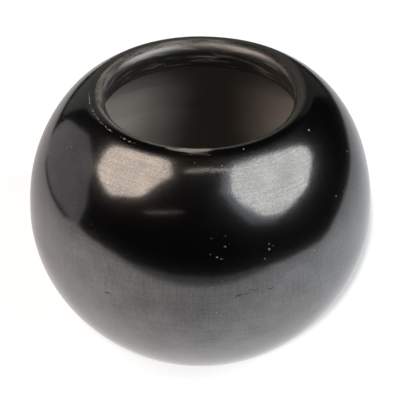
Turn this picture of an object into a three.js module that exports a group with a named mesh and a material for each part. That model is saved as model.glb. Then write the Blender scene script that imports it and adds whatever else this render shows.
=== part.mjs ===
// Hand-coiled blackware seed bowl: a pressed base, wall and shoulder coils and a lip coil, bonded
// at bevelled laps, under one burnished coat of slip. Millimetres, +Z up, the foot on z = 0.
import * as THREE from 'three';

// The finished bowl
const BELLY_DIAMETER = 104;
const BELLY_HEIGHT = 43.2; // of the widest line above the foot
const HEIGHT = 84; // of the lip's crest
const FOOT_DIAMETER = 46;
const MOUTH_DIAMETER = 56.5;
const BELLY_FULLNESS = 1.91; // 2 is an ellipse, more is squarer
const SHOULDER_FULLNESS = 2.39;

// The lip: an edge outside, a rounded crown and an upright face round the mouth
const LIP_WIDTH = 4.8; // from the mouth to the outside edge
const LIP_ROUND = 3.2; // radius of the crown, from the crest to the upright face
const LIP_FALL = 0.2; // of the outside edge below the crest
const LIP_DEPTH = 9.4; // of the upright face's under edge below the crest
const LIP_LEAN = 1.25; // of the under edge, back from the mouth

// The wall
const WALL = 5.5; // at the belly, coat included
const FLOOR = 7; // at the middle of the base
const INSIDE_FULLNESS = 2.35;

// The pieces that the potter joins
const BASE_RISE = 11; // height of the pressed base's edge
const LIP_COIL_WIDTH = 10; // of the lip coil, along the shoulder
const COIL_COUNT = 6; // between base and lip, half of them below the belly
const LAP = 5; // how far a seam drops from the outside to the inside
const SWELL = 0.4; // each coil's bulge on the scraped inside
const BOND = 0.02; // film of slurry between two pieces

// The coat of slip, which stops short of the foot and inside the mouth
const SLIP = 0.3; // thickness
const COAT_START = 2; // above the foot
const COAT_DEPTH = 8.4; // below the crest, on the upright face

// Facets
const SEGMENTS = 48; // round the axis
const STEPS = 3; // up each piece
const CROWN_STEPS = 4;

const BURNISHED_SLIP = new THREE.MeshStandardMaterial({
  color: 0x1f1e1f,
  roughness: 0.25,
  metalness: 0.1,
});
const SMOKED_CLAY = new THREE.MeshStandardMaterial({
  color: 0x4a4440,
  roughness: 0.85,
  metalness: 0,
});

const bellyRadius = BELLY_DIAMETER / 2;
const mouthRadius = MOUTH_DIAMETER / 2;
const crownRound = Math.min(LIP_ROUND, LIP_WIDTH);

/** Equal steps from one number to another, both ends included. */
function evenly(from, to, steps) {
  return Array.from({ length: steps + 1 }, (_, i) => from + ((to - from) * i) / steps);
}

/** Points of a curve at equal angles, both ends included. */
function sweep(curve, from, to, steps) {
  return evenly(from, to, steps).map((angle) => curve(angle));
}

/** An oval about the belly's centre: a point for an angle above the belly line, and an inset. */
function oval(radius, rise, fullness) {
  return (angle, inset = 0) => {
    const across = (Math.abs(Math.cos(angle)) / radius) ** fullness;
    const up = (Math.abs(Math.sin(angle)) / rise) ** fullness;
    const reach = (across + up) ** (-1 / fullness) - inset;
    return new THREE.Vector2(reach * Math.cos(angle), BELLY_HEIGHT + reach * Math.sin(angle));
  };
}

/** How much of one half-axis an oval keeps at a share of the other: all at 0, none at 1. */
function kept(share, fullness) {
  return (1 - share ** fullness) ** (1 / fullness);
}

/** The rise of an oval of the given radius that passes through a point. */
function riseThrough(point, radius, fullness) {
  return Math.abs(point.y - BELLY_HEIGHT) / kept(point.x / radius, fullness);
}

/** A point's angle above the belly line. */
function angleOf(point) {
  return Math.atan2(point.y - BELLY_HEIGHT, point.x);
}

/** One line from runs that each start where the last one ends. */
function joined(runs) {
  return runs.flatMap((run, i) => (i === 0 ? run : run.slice(1)));
}

/** A line moved to its left by a depth, with mitred corners. */
function moved(line, depth) {
  return line.map((point, i) => {
    const before = point.clone().sub(line[i - 1] ?? point).normalize();
    const after = (line[i + 1] ?? point).clone().sub(point).normalize();
    const along = before.clone().add(after).normalize();
    const mitre = Math.max(along.dot(before), along.dot(after));
    const left = new THREE.Vector2(-along.y, along.x);
    return point.clone().addScaledVector(left, depth / mitre);
  });
}

/** A run whose start is clear of the piece below by the film of slurry. */
function bonded(run) {
  const start = run[1].clone().sub(run[0]).setLength(BOND).add(run[0]);
  return [start, ...run.slice(1)];
}

/** A closed ring between a line up its outside and a line up its inside. */
function ring(outer, inner) {
  return [...outer, ...inner.toReversed(), outer[0]];
}

/** A named solid of revolution about Z. */
function revolved(name, profile, material) {
  const geometry = new THREE.LatheGeometry(profile, SEGMENTS).rotateX(Math.PI / 2);
  const mesh = new THREE.Mesh(geometry, material);
  mesh.name = name;
  return mesh;
}

// The outside, from the foot's edge through the belly to the lip's edge
const footEdge = new THREE.Vector2(FOOT_DIAMETER / 2, 0);
const lipEdge = new THREE.Vector2(mouthRadius + LIP_WIDTH, HEIGHT - LIP_FALL);
const bellyRise = riseThrough(footEdge, bellyRadius, BELLY_FULLNESS);
const shoulderRise = riseThrough(lipEdge, bellyRadius, SHOULDER_FULLNESS);
const bellyOutside = oval(bellyRadius, bellyRise, BELLY_FULLNESS);
const shoulderOutside = oval(bellyRadius, shoulderRise, SHOULDER_FULLNESS);
const outside = (angle) => (angle < 0 ? bellyOutside : shoulderOutside)(angle);

// The inside, from the floor to the under edge of the lip
const underEdge = new THREE.Vector2(mouthRadius + LIP_LEAN + SLIP, HEIGHT - LIP_DEPTH);
const insideRadius = bellyRadius - WALL;
const ceilingRise = riseThrough(underEdge, insideRadius, SHOULDER_FULLNESS);
const bellyInside = oval(insideRadius, BELLY_HEIGHT - FLOOR, INSIDE_FULLNESS);
const shoulderInside = oval(insideRadius, ceilingRise, SHOULDER_FULLNESS);
const inside = (angle, swell) => (angle < 0 ? bellyInside : shoulderInside)(angle, swell);

/** The angle of the outside below the belly line, at a height above the foot. */
function lowAngle(height) {
  const share = (BELLY_HEIGHT - height) / bellyRise;
  return Math.atan2(height - BELLY_HEIGHT, bellyRadius * kept(share, BELLY_FULLNESS));
}

// Seams, as angles above the belly line on the outside
const baseSeam = lowAngle(BASE_RISE);
const lipSeam = angleOf(lipEdge) - LIP_COIL_WIDTH / bellyRadius;
const seams = evenly(baseSeam, lipSeam, COIL_COUNT);
const lapAngle = LAP / bellyRadius;

// The finished skin, up the outside, over the crown and down to the coat's end in the mouth
const crownCentre = new THREE.Vector2(mouthRadius + crownRound, HEIGHT - crownRound);
const crown = sweep(
  (angle) => new THREE.Vector2(Math.cos(angle), Math.sin(angle))
    .multiplyScalar(crownRound)
    .add(crownCentre),
  Math.PI / 2,
  Math.PI,
  CROWN_STEPS,
);
const coatShare = (COAT_DEPTH - crownRound) / (LIP_DEPTH - crownRound);
const coatEnd = new THREE.Vector2(mouthRadius + LIP_LEAN * coatShare, HEIGHT - COAT_DEPTH);
const skin = joined([
  sweep(outside, lowAngle(COAT_START), baseSeam, STEPS),
  ...seams.slice(1).map((seam, i) => sweep(outside, seams[i], seam, STEPS)),
  sweep(outside, lipSeam, angleOf(lipEdge), STEPS),
  [lipEdge, ...crown],
  [crown.at(-1), coatEnd],
]);
const clay = moved(skin, SLIP);

/** The clay under one piece's run of the skin, counted from the base. */
function clayRun(index) {
  return clay.slice(index * STEPS, (index + 1) * STEPS + 1);
}

/** The base is pressed in a dish: a flat foot, a low wall and a rounded floor. */
function pressedBase() {
  const floor = sweep(inside, baseSeam - lapAngle, -Math.PI / 2, 2 * STEPS).slice(0, -1);
  const axisUp = [new THREE.Vector2(0, 0), new THREE.Vector2(0, FLOOR)];
  const profile = [axisUp[0], footEdge, ...clayRun(0), ...floor, axisUp[1]];
  return revolved('pressed_base', profile, SMOKED_CLAY);
}

/** Each coil laps the inside of the piece below it and swells a little between its seams. */
function coil(index) {
  const [from, to] = [seams[index], seams[index + 1]];
  const half = Math.ceil(COIL_COUNT / 2);
  const name = index < half ? `wall_coil_${index + 1}` : `shoulder_coil_${index + 1 - half}`;
  const swollen = (angle) => {
    const swell = SWELL * Math.sin((Math.PI * (angle - from)) / (to - from));
    return inside(angle - lapAngle, swell);
  };
  const scraped = sweep(swollen, from, to, STEPS);
  return revolved(name, ring(bonded(clayRun(index + 1)), bonded(scraped)), SMOKED_CLAY);
}

/** The last coil carries the crown and overhangs the inside. */
function lipCoil() {
  const shell = clay.slice((COIL_COUNT + 1) * STEPS);
  const ceiling = sweep(inside, lipSeam - lapAngle, angleOf(underEdge), STEPS);
  return revolved('lip_coil', ring(bonded(shell), bonded(ceiling)), SMOKED_CLAY);
}

/** The coat follows the clay from just above the foot to just inside the mouth. */
function slipCoat() {
  return revolved('slip_coat', ring(skin, moved(skin, SLIP - BOND)), BURNISHED_SLIP);
}

const bowl = new THREE.Group();
bowl.add(pressedBase());
for (let i = 0; i < COIL_COUNT; i += 1) {
  bowl.add(coil(i));
}
bowl.add(lipCoil(), slipCoat());

export default bowl;
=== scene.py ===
# Looks of a hand-coiled blackware seed bowl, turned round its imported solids. Metres, +Z up.
import math
from collections import namedtuple

import bpy
from bpy.props import FloatProperty, FloatVectorProperty, IntProperty, PointerProperty
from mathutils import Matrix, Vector


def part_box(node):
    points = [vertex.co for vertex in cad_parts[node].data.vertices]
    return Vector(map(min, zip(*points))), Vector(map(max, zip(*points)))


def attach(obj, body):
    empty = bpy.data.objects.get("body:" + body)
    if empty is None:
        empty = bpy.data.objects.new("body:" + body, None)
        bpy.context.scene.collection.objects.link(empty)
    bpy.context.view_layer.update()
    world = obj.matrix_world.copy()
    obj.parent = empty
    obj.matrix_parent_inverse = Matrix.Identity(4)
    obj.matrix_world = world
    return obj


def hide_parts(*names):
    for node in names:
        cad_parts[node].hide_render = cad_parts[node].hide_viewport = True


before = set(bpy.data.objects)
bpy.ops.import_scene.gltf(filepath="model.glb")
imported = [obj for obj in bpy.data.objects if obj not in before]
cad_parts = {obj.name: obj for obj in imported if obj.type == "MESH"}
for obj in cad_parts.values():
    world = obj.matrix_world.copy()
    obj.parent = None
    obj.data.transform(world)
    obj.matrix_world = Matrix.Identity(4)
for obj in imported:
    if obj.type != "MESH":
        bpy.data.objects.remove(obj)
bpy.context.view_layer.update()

bl_info = {
    "name": "Blackware Seed Bowl",
    "version": (1, 0, 0),
    "blender": (4, 5, 0),
    "location": "View3D > Sidebar > Seed Bowl",
    "description": "Builds a hand-coiled, burnished and smoked seed bowl and its studio",
    "category": "Object",
}

MM = 0.001
BODY = "root"
COAT_LOW, COAT_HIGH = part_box("slip_coat")
WALL_COILS = sorted(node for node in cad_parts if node.startswith("wall_coil"))
SHOULDER_COILS = sorted(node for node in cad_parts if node.startswith("shoulder_coil"))
COILS = WALL_COILS + SHOULDER_COILS


def linear(code):
    """An sRGB hex colour as linear red, green and blue."""
    shares = [int(code[i:i + 2], 16) / 255 for i in (1, 3, 5)]
    return [s / 12.92 if s <= 0.04045 else ((s + 0.055) / 1.055) ** 2.4 for s in shares]


def length(name, description, default):
    """A property that holds a length in metres."""
    return FloatProperty(name=name, description=description, default=default, precision=5, unit="LENGTH")


def angle(name, description, degrees):
    """A property that holds an angle, from its degrees."""
    return FloatProperty(name=name, description=description, default=math.radians(degrees), subtype="ANGLE")


def squareness(name, default):
    """A property that says how square an oval is."""
    return FloatProperty(name=name, description="2 is an ellipse, more is squarer", default=default, min=1)


def factor(name, description, default):
    """A property that holds a share of a whole."""
    return FloatProperty(
        name=name, description=description, default=default, min=0, max=1, subtype="FACTOR",
    )


def colour(name, description, code):
    """A property that holds a colour, from its sRGB hex value."""
    return FloatVectorProperty(
        name=name, description=description, default=linear(code), subtype="COLOR", min=0, max=1,
    )


class BowlSizes(bpy.types.PropertyGroup):
    """The finished bowl and the pieces that its maker joined."""

    belly_diameter: length("Belly", "Widest diameter", COAT_HIGH.x - COAT_LOW.x)
    height: length("Height", "Height of the lip's crest", COAT_HIGH.z)
    belly_height: length("Belly height", "Height of the widest line", 43.2 * MM)
    foot_diameter: length("Foot", "Diameter of the flat foot", 46 * MM)
    mouth_diameter: length("Mouth", "Diameter of the opening", 56.5 * MM)
    belly_fullness: squareness("Belly fullness", 1.91)
    shoulder_fullness: squareness("Shoulder fullness", 2.39)
    inside_fullness: squareness("Inside fullness", 2.35)
    foot_round: length("Foot round", "Rounding of the foot's edge", 3 * MM)
    lip_width: length("Lip width", "From the mouth to the lip's outside edge", 4.8 * MM)
    lip_round: length("Lip round", "Radius of the crown", 3.2 * MM)
    lip_fall: length("Lip fall", "Of the outside edge below the crest", 0.2 * MM)
    lip_depth: length("Lip depth", "Of the upright face's under edge below the crest", 9.4 * MM)
    lip_lean: length("Lip lean", "Of the under edge, back from the mouth", 1.25 * MM)
    edge_round: length("Edge round", "Rounding of the lip's outside edge", 6 * MM)
    under_round: length("Under round", "Rounding of the lip's under edge", 0.8 * MM)
    wall: length("Wall", "Thickness at the belly", 5.5 * MM)
    floor: length("Floor", "Thickness at the middle of the base", 7 * MM)
    base_rise: length("Base rise", "Height of the pressed base's edge", 11 * MM)
    lip_coil_width: length("Lip coil", "Width of the lip coil along the shoulder", 10 * MM)
    lap: length("Lap", "How far a seam drops from the outside to the inside", 5 * MM)
    swell: length("Swell", "Bulge of each coil on the scraped inside", 0.2 * MM)
    bond: length("Bond", "Film of slurry between two pieces", 0.02 * MM)
    slip: length("Slip", "Thickness of the coat", 0.3 * MM)
    coat_start: length("Coat start", "Height of the coat's lower end", 2 * MM)
    coat_depth: length("Coat depth", "Of the coat's end in the mouth below the crest", 8.4 * MM)
    segments: IntProperty(name="Segments", description="Facets round the axis", default=256, min=24)


class HandWork(bpy.types.PropertyGroup):
    """How the bowl strays from a true turned form and where it is worn. Turns go right from the front."""

    bulge: length("Bulge", "How much fuller one side of the shoulder is", 0.8 * MM)
    bulge_turn: angle("Bulge turn", "Of the bulge's middle", 126)
    bulge_level: angle("Bulge level", "Of the bulge's middle above the belly line", 38)
    bulge_width: angle("Bulge width", "From the bulge's middle to its end", 38)
    hollow: length("Hollow", "How much flatter another side of the shoulder is", -0.45 * MM)
    hollow_turn: angle("Hollow turn", "Of the hollow's middle", -108)
    hollow_level: angle("Hollow level", "Of the hollow's middle above the belly line", 24)
    hollow_width: angle("Hollow width", "From the hollow's middle to its end", 26)
    lean: length("Lean", "How far the lip stands off the bowl's axis", 0.3 * MM)
    lean_turn: angle("Lean turn", "Of the side that the lip stands off to", -90)
    tilt: angle("Tilt", "Of the lip, out of level", 0.55)
    tilt_turn: angle("Tilt turn", "Of the lip's highest side", 8)
    wobble: length("Wobble", "Depth of the broad unevenness", 0.1 * MM)
    wobble_size: length("Wobble size", "Width of the broad unevenness", 45 * MM)
    waves: length("Waves", "Depth of the shallow hollows that burnishing leaves", 0.03 * MM)
    wave_size: length("Wave size", "Width of the burnished hollows", 11 * MM)
    scrape: length("Scrape", "Depth of the scraper's marks inside", 0.05 * MM)
    scrape_size: length("Scrape size", "Width of a scraper's mark", 2.5 * MM)
    seed: FloatProperty(name="Seed", description="Chooses the unevenness", default=3)
    worn_turn: angle("Worn turn", "Of the side of the lip that hands have worn most", -95)
    chipped_turn: angle("Chipped turn", "Of the side of the lip's edge that is chipped", -63)


class Finishes(bpy.types.PropertyGroup):
    """Colours of the burnished coat and the bare clay."""

    slip: colour("Slip", "Carbon-black burnished slip", "#040404")
    lip: colour("Worn lip", "The lip, where its thin slip is worn", "#76736e")
    chip: colour("Chips", "Pale specks where the slip has chipped", "#bab4aa")
    # This colour also paints the highlight on the lip's front rim.
    clay: colour("Clay", "Smoked clay inside", "#918c87")
    soot: colour("Soot", "Blackened clay under the lip and at the foot", "#1d1a18")


class Studio(bpy.types.PropertyGroup):
    """The camera's place and the pale table."""

    elevation: angle("Elevation", "Of the camera above the belly", 34.7)
    distance: length("Distance", "From the camera to the belly's centre", 936 * MM)
    focal_length: FloatProperty(
        name="Focal length", description="Of the lens, in millimetres", default=275.1,
        subtype="DISTANCE_CAMERA",
    )
    aim_rise: length("Aim rise", "Of the point aimed at above the belly's centre", 1.5 * MM)
    aim_left: length("Aim left", "Of the point aimed at from the bowl's axis", 0.13 * MM)
    paper: colour("Table", "The pale table", "#e1e9ee")
    glow: factor("Glow", "Share of the table's white that is its own", 0.9)
    shade: factor("Shade", "Share of the table's white that lamps give", 0.25)


# Spacing of an outline's points, closest where the eye goes
SKIN_STEP = 0.6 * MM
BACKING_STEP = 2 * MM
CROWN_STEP = 0.3 * MM
FACE_STEP = 0.4 * MM
LIP_CLAY_STEP = 0.8 * MM
COIL_CLAY_STEP = 1.2 * MM
BASE_CLAY_STEP = 1 * MM
FOOT_STEP = 0.5 * MM
FLOOR_STEP = 0.8 * MM
SCRAPED_STEP = 0.6 * MM
SEAM_STEP = 1 * MM
CORNER_STEPS = 6
EDGE_STEPS = 10

# How far down the shoulder the lip's outside edge takes its slope, as a share of its rounding
EDGE_REACH = 0.3

# Where the lip's own finish lies. Its end and its face are given in shares of the crown's radius.
LIP_END = 0.9
LIP_FADE = 0.8 * MM
LIP_BELOW = 1 * MM
FACE_START = 0.2
FACE_FADE = 0.45
ARRIS_WIDTH = 0.7 * MM


class Section:
    """The bowl's half section. A point is a Vector of distance from the axis and height."""

    def __init__(self, sizes):
        self.sizes = sizes
        self.belly = sizes.belly_diameter / 2
        self.mouth = sizes.mouth_diameter / 2
        self.inside_belly = self.belly - sizes.wall
        self.foot_edge = Vector((sizes.foot_diameter / 2, 0))
        self.lip_edge = Vector((self.mouth + sizes.lip_width, sizes.height - sizes.lip_fall))
        under_radius = self.mouth + sizes.lip_lean + sizes.slip
        self.under_edge = Vector((under_radius, sizes.height - sizes.lip_depth))
        self.belly_rise = self.rise_through(self.foot_edge, self.belly, sizes.belly_fullness)
        self.shoulder_rise = self.rise_through(self.lip_edge, self.belly, sizes.shoulder_fullness)
        self.ceiling_rise = self.rise_through(
            self.under_edge, self.inside_belly, sizes.shoulder_fullness
        )
        self.base_seam = self.low_angle(sizes.base_rise)
        self.lip_seam = self.angle_of(self.lip_edge) - sizes.lip_coil_width / self.belly
        self.seams = evenly(self.base_seam, self.lip_seam, len(COILS))
        self.lap_angle = sizes.lap / self.belly

    def rise_through(self, point, radius, fullness):
        """The rise of an oval of the given radius that passes through a point."""
        return abs(point.y - self.sizes.belly_height) / kept(point.x / radius, fullness)

    def angle_of(self, point):
        """A point's angle above the belly line."""
        return math.atan2(point.y - self.sizes.belly_height, point.x)

    def low_angle(self, height):
        """The angle of the outside below the belly line, at a height above the foot."""
        share = (self.sizes.belly_height - height) / self.belly_rise
        radius = self.belly * kept(share, self.sizes.belly_fullness)
        return math.atan2(height - self.sizes.belly_height, radius)

    def oval(self, angle, radius, rise, fullness, inset=0):
        """A point of an oval about the belly's centre."""
        across = abs(math.cos(angle) / radius) ** fullness
        up = abs(math.sin(angle) / rise) ** fullness
        reach = (across + up) ** (-1 / fullness) - inset
        return Vector((reach * math.cos(angle), self.sizes.belly_height + reach * math.sin(angle)))

    def outside(self, angle):
        """The burnished outside at an angle above the belly line."""
        if angle < 0:
            return self.oval(angle, self.belly, self.belly_rise, self.sizes.belly_fullness)
        return self.oval(angle, self.belly, self.shoulder_rise, self.sizes.shoulder_fullness)

    def inside(self, angle, inset=0):
        """The scraped inside at an angle above the belly line."""
        if angle < 0:
            rise = self.sizes.belly_height - self.sizes.floor
            return self.oval(angle, self.inside_belly, rise, self.sizes.inside_fullness, inset)
        return self.oval(
            angle, self.inside_belly, self.ceiling_rise, self.sizes.shoulder_fullness, inset
        )

    def outside_run(self, start, end, spacing):
        """Points up the outside between two angles."""
        return swept(self.outside, start, end, self.belly, spacing)

    def lip_run(self):
        """The lip's skin, from its outside edge over the crown and down the upright face."""
        sizes = self.sizes
        crown_round = min(sizes.lip_round, sizes.lip_width)
        crown_centre = Vector((self.mouth + crown_round, sizes.height - crown_round))
        crown = swept(
            lambda angle: crown_centre + crown_round * spoke(angle),
            math.pi / 2, math.pi, crown_round, CROWN_STEP,
        )
        share = (sizes.coat_depth - crown_round) / (sizes.lip_depth - crown_round)
        end = Vector((self.mouth + sizes.lip_lean * share, sizes.height - sizes.coat_depth))
        before = self.outside(self.angle_of(self.lip_edge) - EDGE_REACH * sizes.edge_round / self.belly)
        edge = rounded(before, self.lip_edge, crown[0], sizes.edge_round, EDGE_STEPS)
        return edge + crown + straight(crown[-1], end, FACE_STEP)[1:]

    def skin(self, start, spacing):
        """The finished skin from an angle on the outside to the coat's end in the mouth."""
        lip = self.lip_run()
        up = self.outside_run(start, self.angle_of(lip[0]), spacing)
        return up[:-1] + lip

    def arris_share(self, point):
        """1 on the lip's outside edge, and soon 0 away from it."""
        return math.exp(-((point - self.lip_edge).length / ARRIS_WIDTH) ** 2)

    def lip_share(self, point):
        """1 on the lip's face and crown, 0 on the shoulder, with a soft step at the crest."""
        if point.y < self.under_edge.y - LIP_BELOW:
            return 0.0
        return stepped((self.mouth + LIP_END * self.sizes.lip_round - point.x) / LIP_FADE + 0.5)

    def face_share(self, point):
        """1 on the upright face and its under edge, 0 from the crown's middle outwards."""
        behind = point.x > self.under_edge.x + self.sizes.lip_lean
        if behind or point.y < self.under_edge.y - LIP_BELOW:
            return 0.0
        fall = (self.sizes.height - point.y) / self.sizes.lip_round
        return stepped((fall - FACE_START) / FACE_FADE)


def kept(share, fullness):
    """How much of one half-axis an oval keeps at a share of the other: all at 0, none at 1."""
    return (1 - share ** fullness) ** (1 / fullness)


def stepped(share):
    """A share kept between 0 and 1."""
    return min(max(share, 0.0), 1.0)


def spoke(angle):
    """A step of length 1 at an angle in the half section."""
    return Vector((math.cos(angle), math.sin(angle)))


def evenly(start, end, steps):
    """Equal steps from one number to another, both ends included."""
    return [start + (end - start) * i / steps for i in range(steps + 1)]


def swept(curve, start, end, radius, spacing):
    """Points of a curve at equal angles, about a spacing apart."""
    steps = max(2, round(abs(end - start) * radius / spacing))
    return [curve(angle) for angle in evenly(start, end, steps)]


def straight(start, end, spacing):
    """Points along a straight line, about a spacing apart."""
    steps = max(1, round((end - start).length / spacing))
    return [start.lerp(end, i / steps) for i in range(steps + 1)]


def rounded(before, corner, after, radius, steps=CORNER_STEPS):
    """An arc in place of a corner between two straight stretches."""
    back = (before - corner).normalized()
    ahead = (after - corner).normalized()
    half = back.angle(ahead) / 2
    centre = corner + (back + ahead).normalized() * radius / math.sin(half)
    first = corner + back * radius / math.tan(half) - centre
    last = corner + ahead * radius / math.tan(half) - centre
    turn = first.angle_signed(last)
    from_angle = math.atan2(first.y, first.x)
    return [centre + radius * spoke(from_angle - turn * share) for share in evenly(0, 1, steps)]


def moved(line, depth):
    """A line moved to its left by a depth, with mitred corners."""
    points = []
    for i, point in enumerate(line):
        before = (point - line[max(i - 1, 0)]).normalized()
        after = (line[min(i + 1, len(line) - 1)] - point).normalized()
        along = (before + after).normalized()
        mitre = max(along.dot(before), along.dot(after))
        points.append(point + Vector((-along.y, along.x)) * depth / mitre)
    return points


def towards(turn, level):
    """A direction by its turn to the right from the front and its angle above the horizon."""
    return Vector((math.sin(turn) * math.cos(level), -math.cos(turn) * math.cos(level), math.sin(level)))


def add(tree, kind, links=None, **settings):
    """Adds a node, sets its properties, and fills its inputs with values or with other nodes' results."""
    node = tree.nodes.new(kind)
    for name, value in settings.items():
        setattr(node, name, value)
    for name, value in (links or {}).items():
        if isinstance(value, bpy.types.Node):
            value = value.outputs[0]
        if isinstance(value, bpy.types.NodeSocket):
            tree.links.new(value, node.inputs[name])
        else:
            node.inputs[name].default_value = value
    return node


# Marks that an outline hands to its turned piece, and from there to the materials
MARKS = ("run", "arris", "lip", "face", "inside")

# What each kind of value needs as an input of the turning
SOCKET_KINDS = {
    int: "NodeSocketInt",
    float: "NodeSocketFloat",
    Vector: "NodeSocketVector",
    bpy.types.Material: "NodeSocketMaterial",
}

# Points this close are one, edges this sharp stay sharp, and above this height the foot is no longer flat
WELD = 0.004 * MM
SHARP_EDGE = math.radians(35)
FLAT_FOOT = 12 * MM

# How many times longer than wide a scraper's mark is
SCRAPE_STRETCH = 9


def turned_rows(tree, given, here):
    """A grid with a row for each point of the outline, each row bent to a circle that starts at the back."""
    size = add(tree, "GeometryNodeAttributeDomainSize", {"Geometry": given["Outline"]}, component="MESH")
    points = size.outputs["Point Count"]
    rows = add(tree, "ShaderNodeMath", {0: points, 1: 1.0}, operation="SUBTRACT")
    columns = add(tree, "ShaderNodeMath", {0: given["Segments"], 1: 1.0}, operation="ADD")
    solid = add(tree, "GeometryNodeMeshGrid", {
        "Size X": rows, "Size Y": given["Segments"], "Vertices X": points, "Vertices Y": columns,
    })
    cell = add(tree, "ShaderNodeSeparateXYZ", {0: here}).outputs
    row = add(tree, "ShaderNodeMath", {0: rows, 1: 0.5, 2: cell["X"]}, operation="MULTIPLY_ADD")
    row = add(tree, "ShaderNodeMath", {0: row}, operation="ROUND")
    for mark in MARKS:
        named = add(tree, "GeometryNodeInputNamedAttribute", {"Name": mark}, data_type="FLOAT")
        picked = add(tree, "GeometryNodeSampleIndex", {
            "Geometry": given["Outline"], "Value": named.outputs["Attribute"], "Index": row,
        }, data_type="FLOAT")
        solid = add(tree, "GeometryNodeStoreNamedAttribute", {
            "Geometry": solid, "Name": mark, "Value": picked,
        }, data_type="FLOAT", domain="POINT")
    outline = add(tree, "GeometryNodeSampleIndex", {
        "Geometry": given["Outline"], "Value": here, "Index": row,
    }, data_type="FLOAT_VECTOR")
    part = add(tree, "ShaderNodeMath", {0: cell["Y"], 1: given["Segments"]}, operation="DIVIDE")
    turn = add(tree, "ShaderNodeMath", {0: part, 1: -math.tau, 2: -math.pi / 2}, operation="MULTIPLY_ADD")
    circle = add(tree, "ShaderNodeVectorRotate", {"Vector": outline, "Angle": turn}, rotation_type="Z_AXIS")
    solid = add(tree, "GeometryNodeSetPosition", {"Geometry": solid, "Position": circle})
    return add(tree, "GeometryNodeMergeByDistance", {"Geometry": solid, "Distance": WELD})


def uneven_depth(tree, given, way):
    """Broad and small unevenness of the whole wall, with a fuller side and a flatter side."""
    skin = add(tree, "ShaderNodeVectorMath", {0: way, "Scale": given["Belly Radius"]}, operation="SCALE")
    depth = 0.0
    for amount, width in (("Wobble", "Wobble Size"), ("Waves", "Wave Size")):
        scale = add(tree, "ShaderNodeMath", {0: 1.0, 1: given[width]}, operation="DIVIDE")
        noise = add(tree, "ShaderNodeTexNoise", {
            "Vector": skin, "W": given["Seed"], "Scale": scale, "Detail": 1.0,
        }, noise_dimensions="4D")
        uneven = add(tree, "ShaderNodeMath", {0: noise, 1: 2.0, 2: -1.0}, operation="MULTIPLY_ADD")
        depth = add(tree, "ShaderNodeMath", {
            0: uneven, 1: given[amount], 2: depth,
        }, operation="MULTIPLY_ADD")
    for name in ("Bulge", "Hollow"):
        near = add(tree, "ShaderNodeVectorMath", {0: way, 1: given[name + " Way"]}, operation="DOT_PRODUCT")
        off = add(tree, "ShaderNodeMath", {0: near.outputs["Value"]}, operation="ARCCOSINE")
        swell = add(tree, "ShaderNodeMapRange", {
            "Value": off, "From Min": given[name + " Width"], "From Max": 0.0, "To Max": given[name],
        }, interpolation_type="SMOOTHSTEP")
        depth = add(tree, "ShaderNodeMath", {0: depth, 1: swell}, operation="ADD")
    return depth


def scraped_depth(tree, given, here, depth):
    """Level scraper's marks, added to the depth on the inside."""
    level = add(tree, "ShaderNodeVectorMath", {0: here, 1: (1, 1, SCRAPE_STRETCH)}, operation="MULTIPLY")
    scale = add(tree, "ShaderNodeMath", {0: 1 / SCRAPE_STRETCH, 1: given["Scrape Size"]}, operation="DIVIDE")
    scrapes = add(tree, "ShaderNodeTexNoise", {
        "Vector": level, "W": given["Seed"], "Scale": scale, "Detail": 2.0,
    }, noise_dimensions="4D")
    inside = add(tree, "GeometryNodeInputNamedAttribute", {"Name": "inside"}, data_type="FLOAT")
    cut = add(tree, "ShaderNodeMath", {0: scrapes, 1: inside.outputs["Attribute"]}, operation="MULTIPLY")
    return add(tree, "ShaderNodeMath", {0: cut, 1: given["Scrape"], 2: depth}, operation="MULTIPLY_ADD")


def lip_shift(tree, given, here, height):
    """The upper half's shift, growing to the lip's lean off the axis and tilt out of level."""
    upper = add(tree, "ShaderNodeMapRange", {
        "Value": height, "From Min": given["Belly Height"], "From Max": given["Height"],
    }, interpolation_type="SMOOTHSTEP")
    rise = add(tree, "ShaderNodeVectorMath", {0: here, 1: given["Tilt"]}, operation="DOT_PRODUCT")
    rise = add(tree, "ShaderNodeCombineXYZ", {"Z": rise.outputs["Value"]})
    shift = add(tree, "ShaderNodeVectorMath", {0: rise, 1: given["Lean"]}, operation="ADD")
    return add(tree, "ShaderNodeVectorMath", {0: shift, "Scale": upper}, operation="SCALE")


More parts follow.
